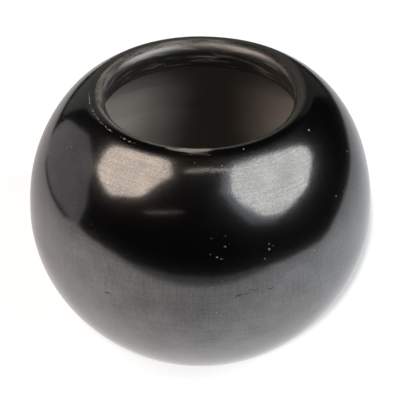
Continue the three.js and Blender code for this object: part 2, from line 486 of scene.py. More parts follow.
def turning_tree(values):
    """Turns an outline about Z, then adds the unevenness of hand work, which the whole wall shares."""
    if "turned_piece" in bpy.data.node_groups:
        return bpy.data.node_groups["turned_piece"]
    tree = bpy.data.node_groups.new("turned_piece", "GeometryNodeTree")
    tree.interface.new_socket("Outline", in_out="INPUT", socket_type="NodeSocketGeometry")
    for name, value in values.items():
        tree.interface.new_socket(name, in_out="INPUT", socket_type=SOCKET_KINDS[type(value)])
    tree.interface.new_socket("Piece", in_out="OUTPUT", socket_type="NodeSocketGeometry")
    given = add(tree, "NodeGroupInput").outputs
    here = add(tree, "GeometryNodeInputPosition")
    solid = turned_rows(tree, given, here)

    # Hand work moves each point along a line from the belly's centre, and the foot stays flat
    centre = add(tree, "ShaderNodeCombineXYZ", {"Z": given["Belly Height"]})
    out = add(tree, "ShaderNodeVectorMath", {0: here, 1: centre}, operation="SUBTRACT")
    way = add(tree, "ShaderNodeVectorMath", {0: out}, operation="NORMALIZE")
    height = add(tree, "ShaderNodeSeparateXYZ", {0: here}).outputs["Z"]
    lifted = add(tree, "ShaderNodeMapRange", {
        "Value": height, "From Max": FLAT_FOOT,
    }, interpolation_type="SMOOTHSTEP")
    depth = uneven_depth(tree, given, way)
    depth = add(tree, "ShaderNodeMath", {0: depth, 1: lifted}, operation="MULTIPLY")
    depth = scraped_depth(tree, given, here, depth)
    shift = lip_shift(tree, given, here, height)
    offset = add(tree, "ShaderNodeVectorMath", {0: way, 1: depth, 2: shift}, operation="MULTIPLY_ADD")
    solid = add(tree, "GeometryNodeSetPosition", {"Geometry": solid, "Offset": offset})

    # Smooth, with true edges kept sharp
    solid = add(tree, "GeometryNodeSetShadeSmooth", {"Geometry": solid}, domain="FACE")
    bend = add(tree, "GeometryNodeInputMeshEdgeAngle").outputs["Unsigned Angle"]
    sharp = add(tree, "ShaderNodeMath", {0: bend, 1: SHARP_EDGE}, operation="GREATER_THAN")
    solid = add(tree, "GeometryNodeSetShadeSmooth", {
        "Geometry": solid, "Selection": sharp, "Shade Smooth": False,
    }, domain="EDGE")
    solid = add(tree, "GeometryNodeRealizeInstances", {"Geometry": solid})
    solid = add(tree, "GeometryNodeSetMaterial", {"Geometry": solid, "Material": given["Material"]})
    add(tree, "NodeGroupOutput", {"Piece": solid})
    return tree


def turning_values(sizes, hand, material):
    """What the turning is given, by the names of its inputs."""
    return {
        "Segments": sizes.segments,
        "Belly Radius": sizes.belly_diameter / 2,
        "Belly Height": sizes.belly_height,
        "Height": sizes.height,
        "Bulge": hand.bulge,
        "Bulge Way": towards(hand.bulge_turn, hand.bulge_level),
        "Bulge Width": hand.bulge_width,
        "Hollow": hand.hollow,
        "Hollow Way": towards(hand.hollow_turn, hand.hollow_level),
        "Hollow Width": hand.hollow_width,
        "Lean": hand.lean * towards(hand.lean_turn, 0),
        "Tilt": math.tan(hand.tilt) * towards(hand.tilt_turn, 0),
        "Wobble": hand.wobble,
        "Wobble Size": hand.wobble_size,
        "Waves": hand.waves,
        "Wave Size": hand.wave_size,
        "Scrape": hand.scrape,
        "Scrape Size": hand.scrape_size,
        "Seed": hand.seed,
        "Material": material,
    }


def outline_mesh(name, outline, section, inside):
    """The outline as a chain of edges, with the marks that the turned piece keeps."""
    mesh = bpy.data.meshes.new(name)
    edges = [(i, i + 1) for i in range(len(outline) - 1)]
    mesh.from_pydata([(p.x, 0, p.y) for p in outline], edges, [])
    run = [0.0]
    for before, after in zip(outline, outline[1:]):
        run.append(run[-1] + (after - before).length)
    marks = {
        "run": run,
        "arris": [section.arris_share(p) for p in outline],
        "lip": [section.lip_share(p) for p in outline],
        "face": [section.face_share(p) for p in outline],
        "inside": inside,
    }
    for mark in MARKS:
        mesh.attributes.new(mark, "FLOAT", "POINT").data.foreach_set("value", marks[mark])
    return mesh


def turned(context, name, outline, material, scraped=range(0)):
    """A piece turned from its outline, as a plain mesh at the origin. Scraped numbers the points inside."""
    sizes = context.scene.bowl_sizes
    inside = [float(i in scraped) for i in range(len(outline))]
    mesh = outline_mesh(name, outline, Section(sizes), inside)
    mesh.materials.append(material)
    piece = bpy.data.objects.new(name, mesh)
    context.scene.collection.objects.link(piece)
    values = turning_values(sizes, context.scene.bowl_hand, material)
    tree = turning_tree(values)
    modifier = piece.modifiers.new("Turning", "NODES")
    modifier.node_group = tree
    for item in tree.interface.items_tree:
        if item.name in values:
            modifier[item.identifier] = values[item.name]
    depsgraph = context.evaluated_depsgraph_get()
    finished = bpy.data.meshes.new_from_object(
        piece.evaluated_get(depsgraph), preserve_all_data_layers=True, depsgraph=depsgraph
    )
    piece.modifiers.remove(modifier)
    piece.data = finished
    bpy.data.meshes.remove(mesh)
    finished.name = name
    if not finished.polygons:
        raise RuntimeError(name + " has no faces")
    return piece


def placed(piece, node):
    """The piece moves with the bowl and stands for a CAD node, which it hides."""
    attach(piece, BODY)
    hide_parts(node)


def new_material(name):
    """An empty node material with its output's surface socket."""
    material = bpy.data.materials.new(name)
    material.use_nodes = True
    material.node_tree.nodes.clear()
    output = add(material.node_tree, "ShaderNodeOutputMaterial")
    return material, material.node_tree, output.inputs["Surface"]


def surface_marks(tree, *names):
    """The place on the piece, and the marks that it keeps from its outline."""
    place = add(tree, "ShaderNodeTexCoord").outputs["Object"]
    marks = {name: add(tree, "ShaderNodeAttribute", attribute_name=name).outputs["Fac"] for name in names}
    return place, marks


# Patterns of the slip. Most are finer on a real bowl, and are drawn as coarse as they need to show.
GRAIN = 0.34 * MM
BLOTCH = 9 * MM
SPECKLE = 0.4 * MM
STROKE_WIDTH = 0.45 * MM
STROKE_LENGTH = 14 * MM
UPRIGHT_LENGTH = 6 * MM
STREAK_WIDTH = 0.9 * MM
STREAK_LENGTH = 8 * MM

# Depths of the slip's relief
GRAIN_DEPTH = 0.005 * MM
STROKE_DEPTH = 0.003 * MM
UPRIGHT_DEPTH = 0.005 * MM
RIDGE_DEPTH = 0.03 * MM
SPOILT_DEPTH = -0.05 * MM

# Gloss: burnished clay gives back more than glass does, with a haze from plates that lie askew
SLIP_IOR = 2.0
POLISH = {"From Min": 0.35, "From Max": 0.65, "To Min": 0.07, "To Max": 0.19}
HAZE_ROUGHNESS = 0.29
HAZE_SHARE = 0.13
LIP_ROUGHNESS = {"From Min": 0.35, "From Max": 0.65, "To Min": 0.2, "To Max": 0.38}
FACE_ROUGHNESS = 0.5
SPOILT_ROUGHNESS = 0.7
MISSED_BLOTCH = 0.4
MISSED_LEVEL = {"From Min": 0.55, "From Max": 0.85, "To Min": 0.63, "To Max": 0.37}
LIP_LEVEL = 0.4

# Wear of the lip. The worn side starts and is full at shares of the mouth's radius towards it.
WORN_START = -0.3
WORN_FULL = 0.9
WORN_LEAST = 0.2
RAGGED_STREAKS = 0.55
RAGGED = {"From Min": 0.38, "From Max": 0.62, "To Min": 0.15}
TORN = {"From Min": 0.53, "From Max": 0.74, "To Max": 0.85}
# A painted highlight on the lip's front rim, drawn as paler clay in a ragged patch: its centre, its size, how
# ragged its edge is, and how it fades.
RIM_HIGHLIGHT_CENTRE = Vector((-2.0, -30.6, 84)) * MM
RIM_HIGHLIGHT_SIZE = Vector((10, 2.6, 2.6)) * MM
RIM_HIGHLIGHT_RAGGED = -1.6
RIM_HIGHLIGHT_FADE = {"From Min": 0.1, "From Max": -0.4, "To Max": 0.8}

# Chips, whose sizes are shares of their spacing. Each spot has a centre and a radius.
CHIP_SPACING = 1.3 * MM
CHIP_JAG = 0.9 * MM
CHIP_RARENESS = 45
CHIP_SIZE = 0.18
SPOT_CHIP_SIZE = 0.28
CHIP_SPOTS = [
    (Vector((5.3, -49.4, 62.1)) * MM, 6 * MM),
    (Vector((19.1, -46.7, 59.2)) * MM, 5 * MM),
    (Vector((-2.7, -51.8, 39.8)) * MM, 3 * MM),
    (Vector((1.3, -50.4, 30.6)) * MM, 3 * MM),
]

# Crumbs off the lip's edge, on a side that starts and is full at shares of the mouth's radius towards it
CHIPPED_START = 0.8
CHIPPED_FULL = 1.05
CRUMB_LEVEL = 0.54

# Hairline scars. Each has a centre and a half length.
SCAR_WIND = 2.2 * MM
SCAR_WANDER = 5 * MM
SCAR_WIDTH = 0.2 * MM
SCAR_SLOPE = 0.25
SCAR_FLATNESS = 2.2
SCARS = [
    (Vector((13.3, -50.2, 46.8)) * MM, 4.4 * MM),
    (Vector((20.7, -47.6, 46.8)) * MM, 1.2 * MM),
    (Vector((-27.3, -44.3, 42.5)) * MM, 1.5 * MM),
]

Patterns = namedtuple("Patterns", "grain blotch speckle upright strokes streaks")


def slip_patterns(tree, place, run):
    """Grains and clouds of the clay, the stone's strokes up the bowl and round it, and streaks on the lip."""
    plain = [
        add(tree, "ShaderNodeTexNoise", {"Vector": place, "Scale": 1 / size, "Detail": detail})
        for size, detail in ((GRAIN, 2.0), (BLOTCH, 2.0), (SPECKLE, 3.0))
    ]
    tall = add(tree, "ShaderNodeVectorMath", {
        0: place, 1: (1, 1, STROKE_WIDTH / UPRIGHT_LENGTH),
    }, operation="MULTIPLY")
    upright = add(tree, "ShaderNodeTexNoise", {"Vector": tall, "Scale": 1 / STROKE_WIDTH, "Detail": 1.0})
    level = []
    for width, reach, detail in ((STROKE_WIDTH, STROKE_LENGTH, 2.0), (STREAK_WIDTH, STREAK_LENGTH, 4.0)):
        along = add(tree, "ShaderNodeMath", {0: run, 1: reach / width}, operation="MULTIPLY")
        level.append(add(tree, "ShaderNodeTexNoise", {
            "Vector": place, "W": along, "Scale": 1 / reach, "Detail": detail,
        }, noise_dimensions="4D"))
    return Patterns(*plain, upright, *level)


def worn_share(tree, place, mark, pattern, way, mouth):
    """How far the lip is worn: its crown all round, most on one side, and its upright face in streaks."""
    side = add(tree, "ShaderNodeVectorMath", {0: place, 1: way}, operation="DOT_PRODUCT")
    side = add(tree, "ShaderNodeMath", {
        0: pattern.blotch, 1: mouth, 2: side.outputs["Value"],
    }, operation="MULTIPLY_ADD")
    side = add(tree, "ShaderNodeMapRange", {
        "Value": side, "From Min": WORN_START * mouth, "From Max": WORN_FULL * mouth, "To Min": WORN_LEAST,
    }, interpolation_type="SMOOTHSTEP")
    ragged = add(tree, "ShaderNodeMix", {0: RAGGED_STREAKS, 2: pattern.speckle, 3: pattern.streaks})
    ragged = add(tree, "ShaderNodeMapRange", {"Value": ragged, **RAGGED})
    crown = add(tree, "ShaderNodeMath", {0: ragged, 1: side}, operation="MULTIPLY")
    torn = add(tree, "ShaderNodeMapRange", {"Value": pattern.streaks, **TORN})
    worn = add(tree, "ShaderNodeMix", {0: mark["face"], 2: crown, 3: torn})
    return add(tree, "ShaderNodeMath", {0: worn, 1: mark["lip"]}, operation="MULTIPLY")


def painted_rim_highlight(tree, place, streaks):
    """A painted highlight on the lip's front rim: paler clay in a ragged patch."""
    off = add(tree, "ShaderNodeVectorMath", {0: place, 1: RIM_HIGHLIGHT_CENTRE}, operation="SUBTRACT")
    off = add(tree, "ShaderNodeVectorMath", {0: off, 1: RIM_HIGHLIGHT_SIZE}, operation="DIVIDE")
    off = add(tree, "ShaderNodeVectorMath", {0: off}, operation="LENGTH")
    painted_highlight = add(tree, "ShaderNodeMath", {
        0: streaks, 1: RIM_HIGHLIGHT_RAGGED, 2: off.outputs["Value"],
    }, operation="MULTIPLY_ADD")
    return add(tree, "ShaderNodeMapRange", {"Value": painted_highlight, **RIM_HIGHLIGHT_FADE}, interpolation_type="SMOOTHSTEP")


def chip_share(tree, place, arris, speckle, way, mouth):
    """1 on chips: a few anywhere, more in some spots, and a broken line of them along the lip's edge."""
    jagged = add(tree, "ShaderNodeTexNoise", {"Vector": place, "Scale": 1 / SPECKLE, "Detail": 1.0})
    jagged = add(tree, "ShaderNodeVectorMath", {
        0: jagged.outputs["Color"], 1: [CHIP_JAG] * 3, 2: place,
    }, operation="MULTIPLY_ADD")
    cell = add(tree, "ShaderNodeTexVoronoi", {"Vector": jagged, "Scale": 1 / CHIP_SPACING}).outputs
    chance = add(tree, "ShaderNodeSeparateColor", {0: cell["Color"]}).outputs[0]
    rare = add(tree, "ShaderNodeMath", {0: chance, 1: CHIP_RARENESS}, operation="POWER")
    reach = add(tree, "ShaderNodeMath", {0: rare, 1: CHIP_SIZE}, operation="MULTIPLY")
    for centre, radius in CHIP_SPOTS:
        spot = add(tree, "ShaderNodeVectorMath", {0: place, 1: centre}, operation="DISTANCE")
        spot = add(tree, "ShaderNodeMapRange", {
            "Value": spot.outputs["Value"], "From Min": radius, "From Max": 0.0, "To Max": SPOT_CHIP_SIZE,
        })
        spot = add(tree, "ShaderNodeMath", {0: spot, 1: chance}, operation="MULTIPLY")
        reach = add(tree, "ShaderNodeMath", {0: reach, 1: spot}, operation="MAXIMUM")
    chips = add(tree, "ShaderNodeMath", {0: cell["Distance"], 1: reach}, operation="LESS_THAN")
    side = add(tree, "ShaderNodeVectorMath", {0: place, 1: way}, operation="DOT_PRODUCT")
    side = add(tree, "ShaderNodeMapRange", {
        "Value": side.outputs["Value"], "From Min": CHIPPED_START * mouth, "From Max": CHIPPED_FULL * mouth,
    })
    crumbs = add(tree, "ShaderNodeMath", {0: speckle, 1: arris}, operation="MULTIPLY")
    crumbs = add(tree, "ShaderNodeMath", {0: crumbs, 1: side}, operation="MULTIPLY")
    crumbs = add(tree, "ShaderNodeMath", {0: crumbs, 1: CRUMB_LEVEL}, operation="GREATER_THAN")
    return add(tree, "ShaderNodeMath", {0: chips, 1: crumbs}, operation="MAXIMUM")


def with_scars(tree, place, spoilt):
    """Adds winding hairline scars, which climb to the right, to what is spoilt."""
    wander = add(tree, "ShaderNodeTexNoise", {"Vector": place, "Scale": 1 / SCAR_WIND, "Detail": 1.0})
    wander = add(tree, "ShaderNodeMath", {
        0: wander, 1: SCAR_WANDER, 2: -SCAR_WANDER / 2,
    }, operation="MULTIPLY_ADD")
    for centre, reach in SCARS:
        off = add(tree, "ShaderNodeVectorMath", {0: place, 1: centre}, operation="SUBTRACT")
        line = add(tree, "ShaderNodeVectorMath", {0: off, 1: (-SCAR_SLOPE, 0, 1)}, operation="DOT_PRODUCT")
        line = add(tree, "ShaderNodeMath", {
            0: line.outputs["Value"], 1: wander, 2: SCAR_WIDTH,
        }, operation="COMPARE")
        off = add(tree, "ShaderNodeVectorMath", {0: off, 1: (1, 1, SCAR_FLATNESS)}, operation="MULTIPLY")
        off = add(tree, "ShaderNodeVectorMath", {0: off}, operation="LENGTH")
        near = add(tree, "ShaderNodeMath", {0: off.outputs["Value"], 1: reach}, operation="LESS_THAN")
        scar = add(tree, "ShaderNodeMath", {0: near, 1: line}, operation="MULTIPLY")
        spoilt = add(tree, "ShaderNodeMath", {0: spoilt, 1: scar}, operation="MAXIMUM")
    return spoilt


def slip_level(tree, lip, pattern):
    """How strong the mirror is: less where the stone missed grains, and even on the lip."""
    missed = add(tree, "ShaderNodeMix", {0: 0.5, 2: pattern.upright, 3: pattern.strokes})
    missed = add(tree, "ShaderNodeMix", {0: 0.5, 2: pattern.speckle, 3: missed})
    missed = add(tree, "ShaderNodeMath", {
        0: pattern.blotch, 1: MISSED_BLOTCH, 2: missed,
    }, operation="MULTIPLY_ADD")
    level = add(tree, "ShaderNodeMapRange", {"Value": missed, **MISSED_LEVEL})
    return add(tree, "ShaderNodeMix", {0: lip, 2: level, 3: LIP_LEVEL})


def slip_relief(tree, lip, pattern, spoilt):
    """Bumps of grain and strokes all over, ridges on the lip, and dents where the slip is spoilt."""
    ridges = add(tree, "ShaderNodeMath", {0: pattern.streaks, 1: pattern.speckle}, operation="ADD")
    ridges = add(tree, "ShaderNodeMath", {0: ridges, 1: lip}, operation="MULTIPLY")
    height = 0.0
    for bumps, depth in (
        (pattern.grain, GRAIN_DEPTH),
        (pattern.strokes, STROKE_DEPTH),
        (pattern.upright, UPRIGHT_DEPTH),
        (ridges, RIDGE_DEPTH),
        (spoilt, SPOILT_DEPTH),
    ):
        height = add(tree, "ShaderNodeMath", {0: bumps, 1: depth, 2: height}, operation="MULTIPLY_ADD")
    return add(tree, "ShaderNodeBump", {"Strength": 1.0, "Distance": 1.0, "Height": height})


def burnished_slip(context):
    """Fine slip rubbed with a stone and smoked: deep black under a mirror that the stone left grainy.

    The lip is worn grey on one side, and its upright face, which the stone can't reach, is streaky and dull.
    """
    if "stone_burnished_slip" in bpy.data.materials:
        return bpy.data.materials["stone_burnished_slip"]
    finish, hand = context.scene.bowl_finishes, context.scene.bowl_hand
    mouth = context.scene.bowl_sizes.mouth_diameter / 2
    material, tree, surface = new_material("stone_burnished_slip")
    place, mark = surface_marks(tree, "run", "arris", "lip", "face")
    pattern = slip_patterns(tree, place, mark["run"])

    # Black, with grey wear, a painted highlight of paler clay on the lip's front rim, and pale chips
    worn = worn_share(tree, place, mark, pattern, towards(hand.worn_turn, 0), mouth)
    painted_highlight = painted_rim_highlight(tree, place, pattern.streaks)
    # From here the worn share also carries the painted highlight on the lip's front rim.
    worn = add(tree, "ShaderNodeMath", {0: worn, 1: painted_highlight}, operation="MAXIMUM")
    chips = chip_share(tree, place, mark["arris"], pattern.speckle, towards(hand.chipped_turn, 0), mouth)
    tint = add(tree, "ShaderNodeMix", {
        0: painted_highlight, 6: (*finish.lip, 1), 7: (*finish.clay, 1),
    }, data_type="RGBA").outputs[2]
    tint = add(tree, "ShaderNodeMix", {
        0: worn, 6: (*finish.slip, 1), 7: tint,
    }, data_type="RGBA").outputs[2]
    tint = add(tree, "ShaderNodeMix", {0: chips, 6: tint, 7: (*finish.chip, 1)}, data_type="RGBA").outputs[2]

    # A mirror with a haze round it. The lip is duller, in streaks.
    spoilt = with_scars(tree, place, chips)
    level = slip_level(tree, mark["lip"], pattern)
    normal = slip_relief(tree, mark["lip"], pattern, spoilt)
    lip_gloss = add(tree, "ShaderNodeMapRange", {"Value": pattern.streaks, **LIP_ROUGHNESS})
    lip_gloss = add(tree, "ShaderNodeMix", {0: mark["face"], 2: lip_gloss, 3: FACE_ROUGHNESS})
    polished = add(tree, "ShaderNodeMapRange", {"Value": pattern.grain, **POLISH})
    layers = []
    for polish in (polished, HAZE_ROUGHNESS):
        rough = add(tree, "ShaderNodeMix", {0: mark["lip"], 2: polish, 3: lip_gloss})
        rough = add(tree, "ShaderNodeMix", {0: spoilt, 2: rough, 3: SPOILT_ROUGHNESS})
        layers.append(add(tree, "ShaderNodeBsdfPrincipled", {
            "Base Color": tint, "Roughness": rough, "IOR": SLIP_IOR, "Specular IOR Level": level,
            "Normal": normal,
        }))
    shader = add(tree, "ShaderNodeMixShader", {0: HAZE_SHARE, 1: layers[0], 2: layers[1]})
    tree.links.new(shader.outputs[0], surface)
    return material


# The bare clay
SCRAPE_LINE = 0.7 * MM
SCRAPE_DEPTH = 0.03 * MM
CLEAN = {"From Min": 0.5, "From Max": 1.5, "To Min": 0.8}
CLAY_ROUGHNESS = 0.8
CLAY_IOR = 1.5


def smoked_clay(context):
    """Bare clay, scraped level and smoked: matte grey inside, near-black at the lip's under edge, on hidden
    sides and at the foot.
    """
    if "scraped_smoked_clay" in bpy.data.materials:
        return bpy.data.materials["scraped_smoked_clay"]
    finish = context.scene.bowl_finishes
    material, tree, surface = new_material("scraped_smoked_clay")
    place, mark = surface_marks(tree, "inside", "face")
    cloud = add(tree, "ShaderNodeTexNoise", {"Vector": place, "Scale": 1 / BLOTCH, "Detail": 3.0})
    level = add(tree, "ShaderNodeVectorMath", {0: place, 1: (1, 1, SCRAPE_STRETCH)}, operation="MULTIPLY")
    lines = add(tree, "ShaderNodeTexNoise", {
        "Vector": level, "Scale": 1 / (SCRAPE_STRETCH * SCRAPE_LINE), "Detail": 3.0,
    })
    shade = add(tree, "ShaderNodeMath", {0: cloud, 1: lines}, operation="ADD")
    clean = add(tree, "ShaderNodeMapRange", {"Value": shade, **CLEAN})
    # Near-black wherever the clay isn't scraped inside, and at the lip's under edge.
    bare = add(tree, "ShaderNodeMath", {
        0: mark["inside"], 1: mark["face"],
    }, operation="SUBTRACT", use_clamp=True)
    bare = add(tree, "ShaderNodeMath", {0: bare, 1: clean}, operation="MULTIPLY")
    tint = add(tree, "ShaderNodeMix", {
        0: bare, 6: (*finish.soot, 1), 7: (*finish.clay, 1),
    }, data_type="RGBA").outputs[2]
    height = add(tree, "ShaderNodeMath", {0: lines, 1: SCRAPE_DEPTH}, operation="MULTIPLY")
    normal = add(tree, "ShaderNodeBump", {"Strength": 1.0, "Distance": 1.0, "Height": height})
    shader = add(tree, "ShaderNodeBsdfPrincipled", {
        "Base Color": tint, "Roughness": CLAY_ROUGHNESS, "IOR": CLAY_IOR, "Normal": normal,
    })
    tree.links.new(shader.outputs[0], surface)
    return material


class BOWL_OT_pressed_base(bpy.types.Operator):
    """Builds the pressed base with its foot, low wall and floor"""

    bl_idname = "bowl.pressed_base"
    bl_label = "Pressed Base"

    def execute(self, context):
        sizes = context.scene.bowl_sizes
        section = Section(sizes)
        start = section.low_angle(sizes.coat_start)
        rise = section.outside_run(section.angle_of(section.foot_edge), start, FOOT_STEP)
        foot = rounded(Vector((0, 0)), section.foot_edge, rise[1], sizes.foot_round)
        bare = [p for p in rise[1:] if p.y > foot[-1].y]
        outside = moved(section.outside_run(start, section.base_seam, BASE_CLAY_STEP), sizes.slip)
        floor = swept(
            section.inside, section.base_seam - section.lap_angle, -math.pi / 2, section.belly, FLOOR_STEP
        )
        seam = straight(outside[-1], floor[0], SEAM_STEP)[1:-1]
        shell = [Vector((0, 0)), *foot, *bare, *outside, *seam]
        outline = [*shell, *floor[:-1], Vector((0, sizes.floor))]
        scraped = range(len(shell), len(outline))
        piece = turned(context, "base_clay", outline, smoked_clay(context), scraped)
        placed(piece, "pressed_base")
        return {"FINISHED"}


def coil_piece(context, index):
    """A coil that laps the inside of the piece below it and swells a little between its seams."""
    sizes = context.scene.bowl_sizes
    section = Section(sizes)
    start, end = section.seams[index], section.seams[index + 1]

    def swollen(angle):
        swell = sizes.swell * math.sin(math.pi * (angle - start) / (end - start))
        return section.inside(angle - section.lap_angle, swell)

    outside = moved(section.outside_run(start, end, COIL_CLAY_STEP), sizes.slip)
    inside = swept(swollen, end, start, section.belly, SCRAPED_STEP)
    lower = straight(inside[-1], outside[0], SEAM_STEP)
    upper = straight(outside[-1], inside[0], SEAM_STEP)
    film = sizes.bond * (lower[0] - lower[-1]).orthogonal().normalized()
    lower = [p - film if film.y < 0 else p + film for p in lower]
    shell = [lower[-1], *outside[1:], *upper[1:-1]]
    outline = [*shell, *inside[:-1], *lower]
    scraped = range(len(shell), len(shell) + len(inside))
    piece = turned(context, COILS[index] + "_clay", outline, smoked_clay(context), scraped)
    placed(piece, COILS[index])


class BOWL_OT_wall_coils(bpy.types.Operator):
    """Builds the coils from the base to the belly"""

    bl_idname = "bowl.wall_coils"
    bl_label = "Wall Coils"

    def execute(self, context):
        for index in range(len(WALL_COILS)):
            coil_piece(context, index)
        return {"FINISHED"}


class BOWL_OT_shoulder_coils(bpy.types.Operator):
    """Builds the coils from the belly towards the mouth"""

    bl_idname = "bowl.shoulder_coils"
    bl_label = "Shoulder Coils"

    def execute(self, context):
        for index in range(len(WALL_COILS), len(COILS)):
            coil_piece(context, index)
        return {"FINISHED"}


class BOWL_OT_lip_coil(bpy.types.Operator):
    """Builds the last coil, which carries the crown and overhangs the inside"""

    bl_idname = "bowl.lip_coil"
    bl_label = "Lip Coil"

    def execute(self, context):
        sizes = context.scene.bowl_sizes
        section = Section(sizes)
        skin = moved(section.skin(section.lip_seam, LIP_CLAY_STEP), sizes.slip)
        ceiling = swept(
            section.inside, section.angle_of(section.under_edge), section.lip_seam - section.lap_angle,
            section.belly, SCRAPED_STEP,
        )
        corner = rounded(skin[-1], section.under_edge, ceiling[1], sizes.under_round)
        below = [p for p in ceiling[1:] if p.x > corner[-1].x]
        film = Vector((0, sizes.bond))
        seam = [p + film for p in straight(below[-1], skin[0], SEAM_STEP)]
        shell = [seam[-1], *skin[1:], *corner]
        outline = [*shell, *below[:-1], *seam]
        scraped = range(len(shell), len(shell) + len(below))
        piece = turned(context, "lip_clay", outline, smoked_clay(context), scraped)
        placed(piece, "lip_coil")
        return {"FINISHED"}


class BOWL_OT_slip_coat(bpy.types.Operator):
    """Builds the burnished coat over the outside and the lip"""

    bl_idname = "bowl.slip_coat"
    bl_label = "Slip Coat"

    def execute(self, context):
        sizes = context.scene.bowl_sizes
        section = Section(sizes)
        start = section.low_angle(sizes.coat_start)
        skin = section.skin(start, SKIN_STEP)
        backing = moved(section.skin(start, BACKING_STEP), sizes.slip - sizes.bond)
        outline = [*skin, *reversed(backing), skin[0]]
        piece = turned(context, "burnished_coat", outline, burnished_slip(context))
        placed(piece, "slip_coat")
        return {"FINISHED"}


def stage_mesh(context, name, points, faces, material):
    """A mesh of the stage, which isn't part of the bowl."""
    mesh = bpy.data.meshes.new(name)
    mesh.from_pydata(points, [], faces)
    mesh.materials.append(material)
    obj = bpy.data.objects.new(name, mesh)
    context.scene.collection.objects.link(obj)
    return obj


def mirror_only(obj):
    """Hides a mesh of the stage from everything but mirrors."""
    for sight in ("camera", "diffuse", "shadow", "transmission"):
        setattr(obj, "visible_" + sight, False)


def tinted(radiance):
    """A radiance as a tint, whose strongest part is 1, and a strength."""
    strength = max(radiance)
    return [part / strength for part in radiance], strength


def glowing(name, radiance):
    """A material that only gives light."""
    material, tree, surface = new_material(name)
    tint, strength = tinted(radiance)
    light = add(tree, "ShaderNodeEmission", {"Color": (*tint, 1), "Strength": strength})
    tree.links.new(light.outputs[0], surface)
    return material


# Softboxes and cards, placed by turn and level in degrees. Corners are shares of the distance.
Board = namedtuple("Board", "name turn level distance corners radiance")
BOARD_ROUND = 0.14
BOARD_CORNER = 1 / 3
BOARDS = [
    Board("right_softbox", 64, 38.5, 700 * MM, [
        (-0.14, -0.47), (-0.4, -0.38), (-0.53, -0.05), (-0.5, 0.2), (-0.2, 0.52), (0.8, 0.0), (0.3, -0.36),
    ], (4.4, 4.4, 4.3)),
    Board("right_fringe", 64, 38.5, 701 * MM, [
        (-0.3, -0.56), (-0.62, -0.42), (-0.68, -0.05), (-0.62, 0.3), (-0.2, 0.6), (0.3, 0.3), (0.2, -0.4),
    ], (0.5, 0.56, 0.66)),
    Board("left_softbox", -69, 43.5, 700 * MM, [
        (0.04, -0.42), (-0.3, -0.26), (-0.42, 0.1), (0.16, 0.5), (0.37, 0.36), (0.38, -0.16),
    ], (4.75, 3.95, 3.4)),
    Board("side_card", -90, 0, 250 * MM, [
        (0.24, -0.14), (0.28, 0.13), (0.07, 0.57), (-0.39, 0.69), (-0.91, 0.26), (-1.04, -0.14),
    ], (0.47, 0.45, 0.46)),
    Board("back_card", -175, 16, 700 * MM, [
        (-0.34, -0.34), (-0.34, 0.55), (0.7, 0.55), (0.7, -0.34),
    ], (0.19, 0.19, 0.165)),
    Board("back_side_card", -175, 16, 700 * MM, [
        (-0.8, -0.34), (-0.8, 0.55), (-0.34, 0.55), (-0.34, -0.34),
    ], (0.075, 0.075, 0.07)),
    Board("high_strip", 8, 65.5, 700 * MM, [
        (-0.2, 0.014), (-0.2, 0.026), (0.22, -0.002), (0.22, -0.014),
    ], (9.0, 8.0, 6.8)),
    Board("low_strip", -26, 25.5, 700 * MM, [
        (-0.2, -0.067), (-0.2, -0.055), (0.2, 0.073), (0.2, 0.061),
    ], (2.3, 1.9, 1.6)),
]


def bright_board(context, given, centre):
    """A softbox or card with rounded corners, which faces the bowl and which only mirrors see."""
    way = towards(math.radians(given.turn), math.radians(given.level))
    across = Vector((0, 0, 1)).cross(way).normalized()
    up = way.cross(across)
    marks = [Vector(corner) for corner in given.corners]
    outline = []
    for i, corner in enumerate(marks):
        after = marks[(i + 1) % len(marks)]
        shortest = min((corner - marks[i - 1]).length, (corner - after).length)
        outline += rounded(marks[i - 1], corner, after, min(BOARD_ROUND, BOARD_CORNER * shortest))
    corners = [centre + (way + across * p.x + up * p.y) * given.distance for p in outline]
    material = glowing(given.name, given.radiance)
    mirror_only(stage_mesh(context, given.name, corners, [tuple(range(len(corners)))], material))


# Lamps that light the clay and the table, placed by turn and level in degrees
KeyLight = namedtuple("KeyLight", "name turn level radiance")
KEY_DISTANCE = 700 * MM
KEY_SIZE = 280 * MM
KEY_LIGHTS = [
    KeyLight("key_right", 56, 40, (24.0, 24.0, 24.0)),
    KeyLight("key_left", -66, 42, (20.0, 16.8, 14.9)),
]


def key_light(context, given, centre):
    """A round soft lamp that faces the bowl and that mirrors don't see."""
    lamp = bpy.data.lights.new(given.name, "AREA")
    lamp.shape = "DISK"
    lamp.size = KEY_SIZE
    lamp.color, strength = tinted(given.radiance)
    area = math.pi * (KEY_SIZE / 2) ** 2
    lamp.energy = strength * math.pi * area
    light = bpy.data.objects.new(given.name, lamp)
    way = towards(math.radians(given.turn), math.radians(given.level))
    light.location = centre + way * KEY_DISTANCE
    light.rotation_euler = way.to_track_quat("Z", "Y").to_euler()
    light.visible_camera = False
    light.visible_glossy = False
    context.scene.collection.objects.link(light)


# How far the table and the room reach, in metres
TABLE_REACH = 4.0

# The table in mirrors: its level of light, where that fades in front, and painted shade round the bowl
TABLE_LEVEL = 0.62
TABLE_FRONT = -158 * MM
TABLE_FADE = 22 * MM
TABLE_SHADE = 0.75
SHADE_REACH = 70 * MM

# Its tint in mirrors goes from cool on the right to warm on the left, a painted tint of the neutral right
# lamp and the warm left one
COOL = (0.98, 0.99, 1.02)
WARM = (1, 0.93, 0.9)
WARM_LEFT = -80 * MM
WARM_RIGHT = 90 * MM

